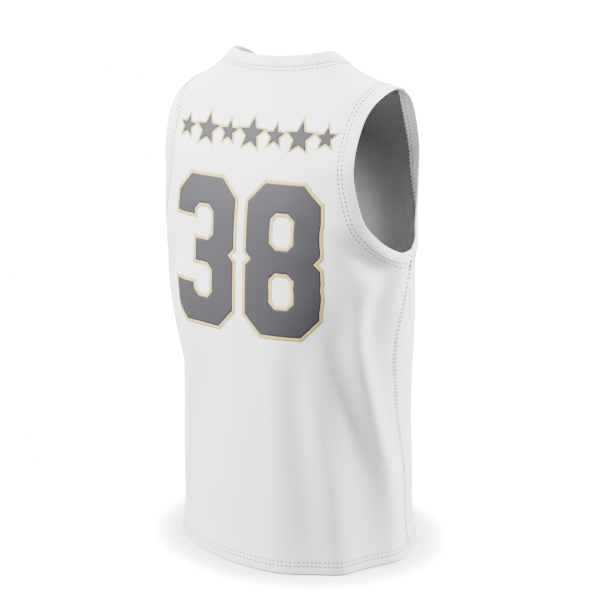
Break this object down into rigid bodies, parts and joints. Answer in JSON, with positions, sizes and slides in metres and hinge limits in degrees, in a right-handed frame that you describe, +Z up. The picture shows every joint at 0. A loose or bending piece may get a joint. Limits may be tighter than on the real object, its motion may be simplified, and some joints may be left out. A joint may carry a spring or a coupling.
{
  "type": "volleyball jersey",
  "caption": "White sleeveless volleyball jersey in knit cloth, filled out as worn with nobody in it, with a round neck band, armhole facings and a turned-up hem.",
  "frame": {"origin": "middle of the neck, 16 mm above the neck ends of the shoulder seams, between the shoulders that hold the garment up", "axes": "+Z up along the body, -Y towards the chest, +X towards the wearer's left"},
  "size_m": [0.3877, 0.3108, 0.7189],
  "materials": {
    "white_knit": "matt white polyester knit with a faint sheen",
    "inner_knit": "dark grey wrong side of the knit",
    "thread": "dark grey stitching",
    "print": "flat slate grey print with a pale gold edge"
  },
  "bodies": {
    "root": {"back_panel": "white_knit", "front_panel": "white_knit", "neck_band": "white_knit", "armhole_facing_left": "white_knit", "armhole_facing_right": "white_knit"}
  },
  "joints": []
}
